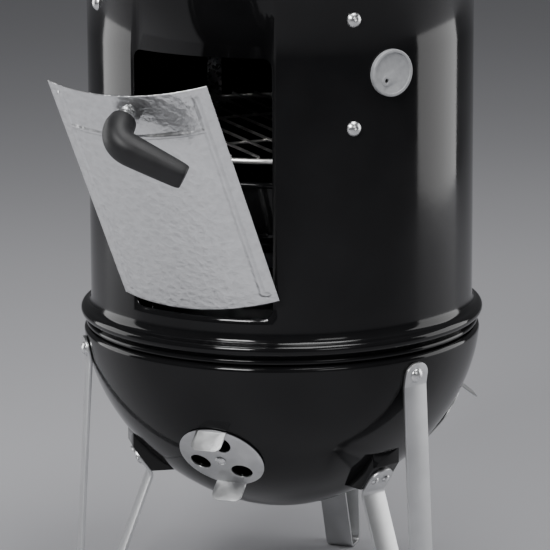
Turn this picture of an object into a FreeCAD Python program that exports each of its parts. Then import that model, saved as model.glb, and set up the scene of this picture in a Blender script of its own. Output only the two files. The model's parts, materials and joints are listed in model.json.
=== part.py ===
"""Vertical water smoker: charcoal bowl on three legs, centre section with a lift-off door, and a lid.

Origin on the floor under the middle of the bowl, +Z up, the door on the -Y side, millimetres.
Angles round the smoker are measured from the door (-Y) towards +X.
The door is drawn open, leaning out on its two bottom hooks.
"""
import FreeCAD, Part
import Sketcher
import math
import os
from FreeCAD import Placement, Rotation, Vector

doc = FreeCAD.newDocument("water_smoker")
PARTS = []

# ---------------------------------------------------------------- driving dimensions

DIMENSIONS = {
    # centre section
    "body_radius": 188.0, "wall": 1.0, "joint_z": 290.0, "section_tall": 367.0,
    "bead_radius": 5.5, "opening_half_angle": 22.5, "opening_low_z": 334.4,
    "opening_tall": 248.5,
    # charcoal bowl
    "bowl_over": 7.5, "bowl_deep": 188.0, "bowl_power": 1.8, "neck_tall": 13.0,
    "neck_gap": 1.0, "joint_gap": 1.5, "leg_turn": 6.0, "damper_turn": 2.5,
    "rim_tall": 7.0, "rim_round": 5.0,
    # legs
    "strap_wide": 28.0, "strap_thick": 3.0, "foot_out": 208.0, "foot_in": 184.0,
    "leg_bolt_down": 21.0, "leg_over_bolt": 13.0, "knee_radius": 135.0, "knee_z": 140.0,
    "flap_long": 31.0, "bend_radius": 6.0, "bracket_wide": 34.0, "bracket_radius": 106.0,
    # fasteners
    "bolt_radius": 3.0, "head_radius": 7.5, "head_tall": 4.5, "nut_across": 10.0, "nut_tall": 5.0,
    "small_head": 4.5, "bolt_clearance": 0.3,
    # dampers
    "damper_radius": 42.5, "damper_thick": 1.2, "vent_radius": 10.5, "vent_ring": 24.0,
    "damper_gap": 0.9, "tab_wide": 31.0, "tab_tall": 22.0, "rivet_head": 5.5,
    "bowl_damper_at": 154.0, "vent_turn": 13.0,
    # charcoal grate and ring
    "rest_gap": 0.3, "rod_radius": 1.5, "rim_rod_radius": 2.8, "charcoal_grate_z": 218.0,
    "charcoal_pitch": 16.0,
    "ring_radius": 128.0, "ring_tall": 110.0, "ring_wall": 1.0, "ring_hole": 7.0,
    # cooking grates and water pan
    "grate_room": 15.0, "lower_grate_z": 488.0, "upper_grate_z": 638.0, "grate_pitch": 22.0,
    "grate_turn": 49.0,
    "pan_room": 20.0, "pan_rim_z": 462.0, "pan_deep": 78.0, "pan_taper": 18.0,
    "pan_rim_radius": 3.0, "pan_corner": 38.0,
    # straps inside the wall
    "hanger_turn": 1.3, "hanger_wide": 15.0, "hanger_thick": 2.0, "hanger_reach": 24.0,
    "upper_bolt_z": 617.0, "lower_bolt_z": 514.0,
    # probe grommet
    "grommet_angle": 58.3, "grommet_z": 564.0, "grommet_radius": 22.5, "grommet_neck": 15.0,
    # door
    "door_half_angle": 25.5, "door_low_z": 328.2, "door_tall": 261.0, "door_thick": 1.0,
    "door_gap": 0.5, "door_lean": 30.0, "rocker_out": 215.7, "rocker_down": 0.9,
    "rocker_skew": 4.65,
    "rib_radius": 2.6, "rib_inset": 13.0, "rib_drop": 48.0, "hook_wide": 18.0,
    "spindle_drop": 24.0, "spindle_radius": 3.0, "spindle_clearance": 0.35, "latch_long": 24.0,
    "latch_turn": 56.0, "lever_long": 74.0, "lever_out": 34.0, "lever_radius": 12.0,
    # lid
    "lid_gap": 0.8, "lid_rise": 84.0, "lid_skirt": 22.0, "lid_overlap": 8.0, "lid_power": 2.3,
    "grip_long": 124.0, "grip_tall": 30.0, "grip_thick": 20.0,
    "dial_radius": 24.0, "lid_damper_radius": 36.0, "lid_vent_ring": 20.0, "lid_vent_radius": 8.5,
    "lid_fitting_tilt": 40.0,
}

sheet = doc.addObject("Spreadsheet::Sheet", "sizes")
for row, (alias, number) in enumerate(DIMENSIONS.items(), start=1):
    sheet.set("A%d" % row, alias)
    sheet.set("B%d" % row, str(number))
    sheet.setAlias("B%d" % row, alias)
doc.recompute()


class Size:
    """A size worked out from the sheet: its number, and the expression that binds it."""

    def __init__(self, number, text):
        self.number = number
        self.text = text

    def join(self, other, sign, result):
        text = other.text if isinstance(other, Size) else repr(float(other))
        return Size(result, "(%s %s %s)" % (self.text, sign, text))

    def __float__(self):
        return float(self.number)

    def __add__(self, other):
        return self.join(other, "+", self.number + float(other))

    def __sub__(self, other):
        return self.join(other, "-", self.number - float(other))

    def __mul__(self, other):
        return self.join(other, "*", self.number * float(other))

    def __truediv__(self, other):
        return self.join(other, "/", self.number / float(other))


def cell(alias):
    return Size(float(sheet.get(alias)), "sizes." + alias)


def num(alias):
    return float(sheet.get(alias))


def bind(thing, **sizes):
    """Set each property, and bind it to the sheet where its value is a Size."""
    for name, size in sizes.items():
        setattr(thing, name, float(size))
        if isinstance(size, Size):
            thing.setExpression(name, size.text)
    return thing


# ---------------------------------------------------------------- helpers: documents objects

def keep(thing, label, placement=None):
    """Name a finished sub-part and put it in the list that is written out."""
    thing.Label = label
    if placement is not None:
        thing.Placement = placement
    PARTS.append(thing)
    return thing


def feature(label, shape, placement=None):
    """A sub-part whose shape is built with Part's own functions."""
    thing = doc.addObject("Part::Feature", label)
    thing.Shape = shape
    return keep(thing, label, placement or Placement())


def fuse(name, things):
    thing = doc.addObject("Part::MultiFuse", name)
    thing.Shapes = things
    return thing


def cut(name, base, tool):
    thing = doc.addObject("Part::Cut", name)
    thing.Base = base
    thing.Tool = tool
    return thing


def body(label, placement=None):
    return keep(doc.addObject("PartDesign::Body", label), label, placement)


def sketch_on(owner, role, name, turn=0.0, lift=0.0):
    """A sketch on one of the body's own origin planes, turned about the plane's upright axis."""
    plane = [item for item in owner.Origin.OriginFeatures if item.Role == role][0]
    sketch = owner.newObject("Sketcher::SketchObject", name)
    sketch.AttachmentSupport = [(plane, "")]
    sketch.MapMode = "FlatFace"
    spin = Rotation(Vector(0, 1, 0), turn)
    sketch.AttachmentOffset = Placement(spin.multVec(Vector(0, 0, lift)), spin)
    return sketch


def pin_point(sketch, element, corner, point):
    """Hold a sketch point at its distances from the sketch origin, bound to the sheet."""
    for kind, size in zip(("DistanceX", "DistanceY"), point):
        index = sketch.addConstraint(Sketcher.Constraint(kind, -1, 1, element, corner, float(size)))
        if isinstance(size, Size):
            sketch.setExpression("Constraints[%d]" % index, size.text)


def outline(sketch, points):
    """A closed outline of straight lines through the points."""
    corners = [Vector(float(x), float(y), 0) for x, y in points]
    following = corners[1:] + corners[:1]
    for start, end in zip(corners, following):
        sketch.addGeometry(Part.LineSegment(start, end), False)
    count = len(corners)
    for index in range(count):
        sketch.addConstraint(Sketcher.Constraint("Coincident", index, 2, (index + 1) % count, 1))
        pin_point(sketch, index, 1, points[index])


def circle(sketch, centre, radius):
    middle = Vector(float(centre[0]), float(centre[1]), 0)
    element = sketch.addGeometry(Part.Circle(middle, Vector(0, 0, 1), float(radius)), False)
    pin_point(sketch, element, 3, centre)
    index = sketch.addConstraint(Sketcher.Constraint("Radius", element, float(radius)))
    if isinstance(radius, Size):
        sketch.setExpression("Constraints[%d]" % index, radius.text)


def revolve(owner, sketch, name):
    thing = owner.newObject("PartDesign::Revolution", name)
    thing.Profile = sketch
    thing.ReferenceAxis = (sketch, ["V_Axis"])
    thing.Angle = 360
    return thing


def pocket(owner, sketch, name, length, forward=True):
    """Cut from the sketch plane, forward along its normal or back, and prove that it cuts."""
    doc.recompute()
    before = owner.Shape.Volume
    thing = owner.newObject("PartDesign::Pocket", name)
    thing.Profile = sketch
    thing.Reversed = forward
    bind(thing, Length=length)
    doc.recompute()
    if not owner.Shape.Volume < before - 1.0:
        raise RuntimeError(name + " cuts nothing")
    return thing


# ---------------------------------------------------------------- helpers: geometry

def radial(angle):
    """The outward direction at an angle from the door."""
    return Vector(math.sin(math.radians(angle)), -math.cos(math.radians(angle)), 0)


def standing(angle):
    """Turns the plane of (radius, height) = (x, z) to the angle round the smoker."""
    return Placement(Vector(0, 0, 0), Rotation(Vector(0, 0, 1), angle - 90))


def at(angle, radius, height):
    return radial(angle) * radius + Vector(0, 0, height)


def dome_point(radius, rise, power, turn, thick=0.0):
    """A point of a superellipse: turn 0 at the rim and 90 at the pole, moved in by thick."""
    share = 2.0 / power
    across = max(math.cos(math.radians(turn)), 0.0) ** share
    along = max(math.sin(math.radians(turn)), 0.0) ** share
    return (radius - thick) * across, (rise - thick) * along


def dome_curve(radius, rise, power, sign, rim_z, thick=0.0, steps=12):
    points = []
    for index in range(steps + 1):
        across, along = dome_point(radius, rise, power, 90.0 * index / steps, thick)
        points.append(Vector(across, 0, rim_z + sign * along))
    curve = Part.BSplineCurve()
    curve.interpolate(points, InitialTangent=Vector(0, 0, sign), FinalTangent=Vector(-1, 0, 0))
    return curve.toShape()


def spun(edges):
    """The solid of revolution about Z of a closed run of edges in the XZ plane."""
    face = Part.Face(Part.Wire(Part.__sortEdges__(edges)))
    solid = face.revolve(Vector(0, 0, 0), Vector(0, 0, 1), 360)
    return Part.Solid(solid) if solid.ShapeType == "Shell" else solid


def line(first, second):
    return Part.makeLine(first, second)


def rounded_path(points, radius):
    """Straight runs through the points, joined by tangent arcs of the radius."""
    edges = []
    start = points[0]
    for before, corner, after in zip(points, points[1:], points[2:]):
        back = (before - corner).normalize()
        ahead = (after - corner).normalize()
        half = back.getAngle(ahead) / 2
        reach = radius / math.tan(half)
        middle = corner + (back + ahead).normalize() * (radius / math.sin(half))
        arc_in = corner + back * reach
        arc_out = corner + ahead * reach
        crown = middle + (corner - middle).normalize() * radius
        edges.append(line(start, arc_in))
        edges.append(Part.Arc(arc_in, crown, arc_out).toShape())
        start = arc_out
    edges.append(line(start, points[-1]))
    return edges


def bent_strip(points, radius, thick, wide):
    """A strip bent along the points in the XZ plane, its width along Y; it grows to one side."""
    path = Part.Wire(rounded_path(points, radius))
    side = path.makeOffset2D(thick, 0, True, True)
    solid = side.extrude(Vector(0, wide, 0))
    solid.translate(Vector(0, -wide / 2, 0))
    return Part.Solid(solid.Shells[0]) if solid.ShapeType != "Solid" else solid


def round_end(shape, tip, thick, radius):
    """Round the two corners of a strip's end that lie nearest to the tip."""
    short = [edge for edge in shape.Edges if abs(edge.Length - thick) < 0.01]
    short.sort(key=lambda edge: (edge.CenterOfMass - tip).Length)
    return shape.makeFillet(radius, short[:2])


def rod(start, end, radius):
    run = end - start
    return Part.makeCylinder(radius, run.Length, start, run)


def hexagon(across, tall, placement):
    """A hexagonal prism that stands on the placement's XY plane."""
    corner = across / math.sqrt(3)
    points = [Vector(corner * math.cos(math.radians(60 * k)), corner * math.sin(math.radians(60 * k)), 0)
              for k in range(7)]
    solid = Part.Face(Part.makePolygon(points)).extrude(Vector(0, 0, tall))
    solid.Placement = placement
    return solid


def dome_head(radius, tall):
    """A round bolt head on the XY plane."""
    ball_radius = (radius ** 2 + tall ** 2) / (2 * tall)
    ball = Part.makeSphere(ball_radius, Vector(0, 0, tall - ball_radius))
    return ball.common(Part.makeCylinder(radius, tall))


def facing(base, direction):
    """Puts local Z along the direction and local X level, with the origin at the base."""
    level = Vector(0, 0, 1).cross(direction)
    upright = direction.cross(level)
    return Placement(base, Rotation(level, upright, direction, "ZXY"))


def bolt(base, direction, grip):
    """A dome-head bolt: the head outside the base point, the shank inward by the grip."""
    shape = dome_head(num("head_radius"), num("head_tall"))
    shank = Part.makeCylinder(num("bolt_radius"), grip + 0.5, Vector(0, 0, -grip))
    shape = shape.fuse(shank).removeSplitter()
    shape.Placement = facing(base, direction)
    return shape


def nut(base, direction):
    """A plain nut whose outer face is at the base point, with the bolt's bore through it."""
    shape = hexagon(num("nut_across"), num("nut_tall"), Placement(Vector(0, 0, -num("nut_tall")), Rotation()))
    shape = shape.cut(Part.makeCylinder(num("bolt_radius"), num("nut_tall"), Vector(0, 0, -num("nut_tall"))))
    shape.Placement = facing(base, direction)
    return shape


def bore(base, direction, radius, reach):
    """A drill for a hole through the base point along the direction, both ways by the reach."""
    return Part.makeCylinder(radius, 2 * reach, base - direction * reach, direction)


# ---------------------------------------------------------------- places worked out from the sizes

section_top = num("joint_z") + num("section_tall")
inner_radius = num("body_radius") - num("wall")
bowl_radius = num("body_radius") + num("bowl_over")
grate_radius = num("body_radius") - num("grate_room")
pan_radius = num("body_radius") - num("pan_room")
shank_hole = num("bolt_radius") + num("bolt_clearance")
small_screw_hole = num("bolt_radius") * 0.7
LEG_ANGLES = {name: angle + num("leg_turn")
              for name, angle in (("left", -60.0), ("right", 60.0), ("rear", 180.0))}
DAMPER_ANGLES = {name: angle + num("damper_turn")
                 for name, angle in (("front", 0.0), ("right", 120.0), ("left", -120.0))}
HANGER_ANGLES = {name: angle + num("hanger_turn")
                 for name, angle in (("front_left", -45.0), ("front_right", 45.0),
                                     ("back_right", 135.0), ("back_left", -135.0))}


def bowl_turn(radius):
    """The superellipse turn at which the bowl's outside has this radius."""
    share = 2.0 / num("bowl_power")
    return math.degrees(math.acos((radius / bowl_radius) ** (1 / share)))


def bowl_outside(turn):
    across, down = dome_point(bowl_radius, num("bowl_deep"), num("bowl_power"), turn)
    return Vector(across, 0, num("joint_z") - down)


def bowl_frame(turn, angle):
    """A point on the bowl's outside and the outward normal there."""
    step = 0.05
    run = bowl_outside(turn + step) - bowl_outside(turn - step)
    normal = Vector(-run.z, 0, run.x).normalize()
    placing = standing(angle)
    return placing.multVec(bowl_outside(turn)), placing.Rotation.multVec(normal)


# ---------------------------------------------------------------- charcoal bowl

def bowl_solid(thick=0.0):
    """The bowl's outer volume, or the hollow inside it when a thickness is given."""
    rim_z = num("joint_z")
    edges = [dome_curve(bowl_radius, num("bowl_deep"), num("bowl_power"), -1, rim_z, thick)]
    edges.append(line(Vector(bowl_radius - thick, 0, rim_z), Vector(0, 0, rim_z)))
    edges.append(line(Vector(0, 0, rim_z), Vector(0, 0, rim_z - num("bowl_deep") + thick)))
    return spun(edges)


def charcoal_bowl():
    wall = num("wall")
    neck = inner_radius - num("neck_gap")
    seat_z = num("joint_z") - num("joint_gap")
    shoulder_z = num("joint_z") - num("rim_tall")
    shell = bowl_solid().cut(bowl_solid(wall))
    trim = Part.makeCylinder(num("body_radius") + 40, 60, Vector(0, 0, shoulder_z))
    shell = shell.cut(trim)
    outer = bowl_outside(bowl_turn_at_z(shoulder_z))
    rim = Part.makeCylinder(outer.x, seat_z - shoulder_z, Vector(0, 0, shoulder_z))
    lip = [edge for edge in rim.Edges
           if abs(edge.CenterOfMass.z - seat_z) < 0.01 and edge.Length > num("rim_tall")]
    rim = rim.makeFillet(num("rim_round"), lip)
    rim = rim.cut(Part.makeCylinder(neck - wall, 60, Vector(0, 0, shoulder_z - 1)))
    ring = Part.makeCylinder(neck, seat_z - shoulder_z + num("neck_tall"), Vector(0, 0, shoulder_z))
    ring = ring.cut(Part.makeCylinder(neck - wall, 90, Vector(0, 0, shoulder_z - 1)))
    shape = shell.fuse([rim, ring])
    for angle in LEG_ANGLES.values():
        base, normal = bowl_frame(leg_bolt_turn, angle)
        shape = shape.cut(bore(base, normal, shank_hole, 12))
    for angle in DAMPER_ANGLES.values():
        placing = damper_placement(angle)
        shape = shape.cut(bore(placing.Base, placing.Rotation.multVec(Vector(0, 0, 1)), shank_hole, 12))
        for hole in vent_places(num("vent_ring")):
            drill = Part.makeCylinder(num("vent_radius") - 0.5, 40, hole - Vector(0, 0, 20))
            drill.Placement = placing.multiply(drill.Placement)
            shape = shape.cut(drill)
    return feature("charcoal_bowl", shape.removeSplitter())


def bowl_turn_at_z(height):
    share = 2.0 / num("bowl_power")
    down = (num("joint_z") - height) / num("bowl_deep")
    return math.degrees(math.asin(down ** (1 / share)))


leg_bolt_turn = bowl_turn_at_z(num("joint_z") - num("leg_bolt_down"))


def vent_places(ring):
    """Centres of the three vent holes in a damper's own plane, X level and Y up."""
    places = []
    for index in range(3):
        clock = math.radians(90 - num("vent_turn") - 120 * index)
        places.append(Vector(ring * math.cos(clock), ring * math.sin(clock), 0))
    return places


def damper_placement(angle):
    base, normal = bowl_frame(bowl_turn(num("bowl_damper_at")), angle)
    return facing(base, normal)


# ---------------------------------------------------------------- dampers

def damper_shape(radius, ring, vent, tabs, dish):
    """A shallow dished disc on the XY plane with three holes and upright tabs."""
    thick = num("damper_thick")
    lean = math.degrees(math.asin(radius / dish))
    centre = Vector(0, 0, -dish)

    def on_dish(distance, angle):
        return centre + Vector(math.sin(math.radians(angle)), 0, math.cos(math.radians(angle))) * distance

    edges = [Part.Arc(on_dish(dish, 0), on_dish(dish, lean / 2), on_dish(dish, lean)).toShape(),
             line(on_dish(dish, lean), on_dish(dish + thick, lean)),
             Part.Arc(on_dish(dish + thick, lean), on_dish(dish + thick, lean / 2),
                      on_dish(dish + thick, 0)).toShape(),
             line(on_dish(dish + thick, 0), on_dish(dish, 0))]
    disc = spun(edges)
    edge_z = math.sqrt(dish ** 2 - radius ** 2) - dish
    wide = min(num("tab_wide"), 1.2 * radius)
    tall = num("tab_tall")
    for side in tabs:
        tab = Part.makeBox(wide, thick, tall + 2, Vector(-wide / 2, radius - 2 * thick - 1, edge_z))
        corners = [edge for edge in tab.Edges if abs(edge.Length - thick) < 0.01
                   and edge.CenterOfMass.z > edge_z + tall]
        tab = tab.makeFillet(wide / 4, corners)
        if side < 0:
            tab.rotate(Vector(0, 0, 0), Vector(0, 0, 1), 180)
        disc = disc.fuse(tab)
    for hole in vent_places(ring):
        disc = disc.cut(Part.makeCylinder(vent, 40, hole - Vector(0, 0, 20)))
    disc = disc.cut(Part.makeCylinder(shank_hole + 0.05, 20, Vector(0, 0, -10)))
    return disc.removeSplitter()


def rivet_shape(head, grip, thick):
    """A rivet through a damper and the wall behind it; Z points out, the wall's face at zero."""
    outside = num("damper_gap") + thick + 0.4
    top = dome_head(head, 3.0)
    top.translate(Vector(0, 0, outside))
    shank = Part.makeCylinder(num("bolt_radius"), outside + grip + 0.5, Vector(0, 0, -grip))
    tail = Part.makeCylinder(head * 0.8, 1.5, Vector(0, 0, -grip - 1.5))
    return top.fuse([shank, tail]).removeSplitter()


def bowl_dampers():
    rivets = []
    for name, angle in DAMPER_ANGLES.items():
        placing = damper_placement(angle)
        lifted = placing.multiply(Placement(Vector(0, 0, num("damper_gap")), Rotation()))
        shape = damper_shape(num("damper_radius"), num("vent_ring"), num("vent_radius"), (1, -1),
                             1.15 * bowl_radius)
        feature("bowl_damper_" + name, shape, lifted)
        rivet = rivet_shape(num("rivet_head"), num("wall") + 0.6, num("damper_thick"))
        rivet.Placement = placing
        rivets.append(rivet)
    feature("damper_rivets", Part.makeCompound(rivets))


# ---------------------------------------------------------------- legs

def leg_places():
    """Points of the leg strap's bowl-side face in the XZ plane, from the top end to the flap."""
    bolt_at = bowl_outside(leg_bolt_turn)
    slope = bowl_outside(leg_bolt_turn - 4) - bowl_outside(leg_bolt_turn + 4)
    slope.normalize()
    half = num("strap_thick") / 2
    top = bolt_at + slope * num("leg_over_bolt")
    shin = bolt_at - slope * (num("leg_bolt_down") / 2)
    knee = Vector(num("knee_radius"), 0, num("knee_z"))
    flap = knee + Vector(0.578, 0, 0.816) * num("flap_long")
    return [top, shin, Vector(num("foot_out") - half, 0, num("strap_thick")),
            Vector(num("foot_in") + half, 0, num("strap_thick")), knee, flap]


def flap_frame(share, side):
    """A point on the bowl side of the leg's flap and the direction out of the bowl there."""
    places = leg_places()
    along = places[5] - places[4]
    outward = Vector(along.z, 0, -along.x).normalize()
    return places[4] + along * share + Vector(0, side, 0) - outward * num("strap_thick"), outward


def legs():
    places = leg_places()
    thick = num("strap_thick")
    wide = num("strap_wide")
    strap = bent_strip(places, num("bend_radius"), thick, wide)
    if not strap.isInside(places[1] + Vector(thick / 2, 0, 0), 0.01, True):
        strap = bent_strip(places, num("bend_radius"), -thick, wide)
    strap = round_end(strap, places[0], thick, wide * 0.45)
    strap = round_end(strap, places[5], thick, wide * 0.45)
    bolt_at = bowl_outside(leg_bolt_turn)
    across = Vector(0, 0, 0) + (places[0] - places[1])
    outward = Vector(across.z, 0, -across.x).normalize()
    strap = strap.cut(bore(bolt_at, outward, shank_hole, 12))
    for side in (-1, 1):
        base, away = flap_frame(0.55, side * wide / 4)
        strap = strap.cut(bore(base, away, small_screw_hole, 12))
    for name, angle in LEG_ANGLES.items():
        feature("leg_" + name, strap.copy(), standing(angle))


def leg_brackets():
    """A pressed wedge under each flap: a slanted plate, a level plate and two cheeks."""
    wide = num("bracket_wide")
    wall = 1.5
    knee = leg_places()[4]
    along = (leg_places()[5] - knee).normalize()
    outward = Vector(along.z, 0, -along.x).normalize()
    low = knee - outward * num("strap_thick") + along * 4.0
    high = low + along * num("flap_long")
    inner = Vector(num("bracket_radius") - 14, 0, low.z)
    roof = num("joint_z")

    def wedge(inset, width):
        shift = outward * -inset
        foot = low + shift + along * ((inset - shift.z) / along.z)
        points = [inner + Vector(0, 0, inset), foot, high + shift,
                  Vector(high.x + shift.x, 0, roof), Vector(inner.x, 0, roof)]
        face = Part.Face(Part.makePolygon(points + points[:1]))
        solid = face.extrude(Vector(0, width, 0))
        solid.translate(Vector(0, -width / 2, 0))
        return solid

    shape = wedge(0.0, wide).cut(wedge(wall, wide - 2 * wall)).cut(bowl_solid())
    shape = max(shape.Solids, key=lambda solid: solid.Volume)
    for side in (-1, 1):
        base, away = flap_frame(0.55, side * num("strap_wide") / 4)
        shape = shape.cut(bore(base, away, small_screw_hole, 12))
    for name, angle in LEG_ANGLES.items():
        feature("leg_bracket_" + name, shape.copy(), standing(angle))


def leg_fasteners():
    thick = num("strap_thick")
    bolts, nuts, screws, screw_nuts = [], [], [], []
    screw_radius = small_screw_hole - 0.2
    for angle in LEG_ANGLES.values():
        placing = standing(angle)
        base, normal = bowl_frame(leg_bolt_turn, angle)
        places = leg_places()
        across = places[0] - places[1]
        outward = placing.Rotation.multVec(Vector(across.z, 0, -across.x).normalize())
        bolts.append(bolt(base + outward * thick, outward, thick + num("wall") + num("nut_tall") + 3))
        nuts.append(nut(base - outward * (num("wall") + 0.6), outward))
        for side in (-1, 1):
            spot, away = flap_frame(0.55, side * num("strap_wide") / 4)
            spot = placing.multVec(spot)
            away = placing.Rotation.multVec(away)
            head = dome_head(num("small_head"), 2.6)
            shank = Part.makeCylinder(screw_radius, thick + 7.5, Vector(0, 0, -thick - 7))
            screw = head.fuse(shank).removeSplitter()
            screw.Placement = facing(spot + away * thick, away)
            screws.append(screw)
            ring = hexagon(7.0, 3.0, Placement(Vector(0, 0, -3.0), Rotation()))
            ring = ring.cut(Part.makeCylinder(screw_radius, 3.0, Vector(0, 0, -3.0)))
            ring.Placement = facing(spot - away * 1.5, away)
            screw_nuts.append(ring)
    feature("leg_upper_bolts", Part.makeCompound(bolts))
    feature("leg_upper_nuts", Part.makeCompound(nuts))
    feature("leg_lower_screws", Part.makeCompound(screws))
    feature("leg_lower_nuts", Part.makeCompound(screw_nuts))


# ---------------------------------------------------------------- grates, ring and pan

def round_grate(label, radius, top_z, pitch, thin, rim, turn):
    """A rim rod with parallel rods resting on it and two cross rods under them."""
    rim_z = top_z - 2 * thin - rim
    rods = [Part.makeTorus(radius - rim, rim, Vector(0, 0, rim_z))]
    reach = radius - rim
    half_count = int(reach / pitch - 0.2)
    rod_z = rim_z + rim + thin - 0.4
    for index in range(-half_count, half_count + 1):
        offset = index * pitch
        half = math.sqrt(reach ** 2 - offset ** 2)
        rods.append(rod(Vector(offset, -half, rod_z), Vector(offset, half, rod_z), thin))
    for offset in (-0.36 * radius, 0.36 * radius):
        half = math.sqrt(reach ** 2 - offset ** 2)
        cross_z = rod_z - 2 * thin + 0.4
        rods.append(rod(Vector(-half, offset, cross_z), Vector(half, offset, cross_z), thin))
    shape = rods[0].multiFuse(rods[1:])
    return feature(label, shape, Placement(Vector(0, 0, 0), Rotation(Vector(0, 0, 1), turn)))


def charcoal_ring():
    """A thin open ring with rows of round air holes, standing on the charcoal grate."""
    low = num("charcoal_grate_z") + 0.5
    tall = num("ring_tall")
    shape = Part.makeCylinder(num("ring_radius"), tall, Vector(0, 0, low))
    shape = shape.cut(Part.makeCylinder(num("ring_radius") - num("ring_wall"), tall, Vector(0, 0, low)))
    for level, row in enumerate((0.22, 0.5, 0.78)):
        for index in range(6):
            angle = 30 * index + 15 * (level % 2)
            middle = Vector(0, 0, low + tall * row)
            shape = shape.cut(bore(middle, radial(angle), num("ring_hole"), 2 * num("ring_radius")))
    return feature("charcoal_ring", shape)


def water_pan():
    """A deep round pan with a flat bottom and a rolled rim that rests on the hangers."""
    wall = num("wall")
    rim = num("pan_rim_radius")
    radius = pan_radius
    foot = radius - num("pan_taper")
    top = num("pan_rim_z")
    low = top - num("pan_deep")
    corner = num("pan_corner")

    def hollow(thick):
        solid = Part.makeCone(foot - thick, radius - thick, num("pan_deep") - thick,
                              Vector(0, 0, low + thick))
        rim_edges = [edge for edge in solid.Edges if edge.Closed and edge.CenterOfMass.z < low + thick + 0.1]
        return solid.makeFillet(corner - thick, rim_edges)

    rolled = Part.makeTorus(radius - wall / 2 + rim - 0.5, rim, Vector(0, 0, top - rim))
    shape = hollow(0.0).fuse(rolled).cut(hollow(wall))
    return feature("water_pan", shape)


def under_grate(height):
    """The height of a ledge that a grate with its top at the named height rests over."""
    return num(height) - 2 * num("rod_radius") - 2 * num("rim_rod_radius") - num("rest_gap")


def grate_tabs():
    """Three bent tabs on the leg bolts' angle that hold the charcoal grate inside the bowl."""
    level = under_grate("charcoal_grate_z")
    thick = num("hanger_thick")
    ledge_out = dome_point(bowl_radius, num("bowl_deep"), num("bowl_power"),
                           bowl_turn_at_z(level - thick), num("wall"))[0]
    shape = Part.makeBox(ledge_out + 4 - (charcoal_grate_radius - 9), num("hanger_wide"), thick,
                         Vector(charcoal_grate_radius - 9, -num("hanger_wide") / 2, level - thick))
    shape = shape.common(bowl_solid(num("wall")))
    tabs = []
    for angle in LEG_ANGLES.values():
        piece = shape.copy()
        piece.Placement = standing(angle)
        tabs.append(piece)
    return feature("charcoal_grate_tabs", Part.makeCompound(tabs))


charcoal_grate_radius = dome_point(bowl_radius, num("bowl_deep"), num("bowl_power"),
                                   bowl_turn_at_z(num("charcoal_grate_z") - 9), num("wall"))[0] - 4.0


# ---------------------------------------------------------------- centre section

def centre_section():
    """The enamelled tube: end beads, the door opening, and holes for bolts and grommet."""
    owner = body("centre_section")
    outer = cell("body_radius")
    inner = outer - cell("wall")
    low = cell("joint_z")
    top = low + cell("section_tall")
    tube = sketch_on(owner, "XZ_Plane", "tube_profile")
    outline(tube, [(0, low), (outer, low), (outer, top), (0, top)])
    revolve(owner, tube, "tube")
    bead = cell("bead_radius")
    low_bead = sketch_on(owner, "XZ_Plane", "low_bead_profile")
    circle(low_bead, (outer + bead - 0.6, low + bead + 3.5), bead)
    revolve(owner, low_bead, "low_bead")
    skirt = sketch_on(owner, "XZ_Plane", "skirt_profile")
    outline(skirt, [(outer - 3.0, low), (outer + 4.0, low), (outer + bead, low + 5.0),
                    (outer - 3.0, low + 8.0)])
    revolve(owner, skirt, "skirt")
    lid_bead = sketch_on(owner, "XZ_Plane", "lid_bead_profile")
    circle(lid_bead, (outer + 0.5, top - cell("lid_overlap") - 5.0), cell("bead_radius") - 1.0)
    revolve(owner, lid_bead, "lid_bead")
    hollow = sketch_on(owner, "XZ_Plane", "hollow_profile")
    outline(hollow, [(0, low - 5.0), (inner, low - 5.0), (inner, top + 5.0), (0, top + 5.0)])
    doc.recompute()
    groove = owner.newObject("PartDesign::Groove", "hollow")
    groove.Profile = hollow
    groove.ReferenceAxis = (hollow, ["V_Axis"])
    groove.Angle = 360
    doc.recompute()
    opening = sketch_on(owner, "XZ_Plane", "opening_outline")
    half = Size(num("body_radius") * math.sin(math.radians(num("opening_half_angle"))),
                "(sizes.body_radius * sin(sizes.opening_half_angle))")
    bottom = cell("opening_low_z")
    head = bottom + cell("opening_tall")
    outline(opening, [(half * -1, bottom), (half, bottom), (half, head), (half * -1, head)])
    pocket(owner, opening, "door_opening", outer + 20)
    for name, angle in HANGER_ANGLES.items():
        holes = sketch_on(owner, "XZ_Plane", "holes_" + name, angle)
        for height in ("upper_bolt_z", "lower_bolt_z"):
            circle(holes, (0, cell(height)), cell("bolt_radius") + cell("bolt_clearance"))
        pocket(owner, holes, "bolt_holes_" + name, outer + 20)
    probe = sketch_on(owner, "XZ_Plane", "probe_outline", num("grommet_angle"))
    circle(probe, (0, cell("grommet_z")), cell("grommet_neck"))
    pocket(owner, probe, "probe_hole", outer + 20)
    return owner


def grill_hangers():
    """Bent strips bolted inside the wall: ledges for the pan, the lower and the upper grate."""
    thick = num("hanger_thick")
    wide = num("hanger_wide")
    back = inner_radius - 0.6
    reach = num("hanger_reach")
    low = num("pan_rim_z") - 2 * num("pan_rim_radius") - num("rest_gap")
    high = under_grate("upper_grate_z")
    tip = back - reach
    points = [Vector(pan_radius + 1.5, 0, low - thick), Vector(back, 0, low - thick),
              Vector(back, 0, high), Vector(tip, 0, high)]
    strip = bent_strip(points, thick + 1.0, -thick, wide)
    if not strip.isInside(Vector(back - thick / 2, 0, (low + high) / 2), 0.01, True):
        strip = bent_strip(points, thick + 1.0, thick, wide)
    middle = under_grate("lower_grate_z")
    ledge = Part.makeBox(reach - 1, wide, thick, Vector(tip, -wide / 2, middle - thick))
    strip = strip.fuse(ledge).removeSplitter()
    for height in ("upper_bolt_z", "lower_bolt_z"):
        strip = strip.cut(bore(Vector(back, 0, num(height)), Vector(1, 0, 0), shank_hole, 20))
    for name, angle in HANGER_ANGLES.items():
        feature("grill_hanger_" + name, strip.copy(), standing(angle))


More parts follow.
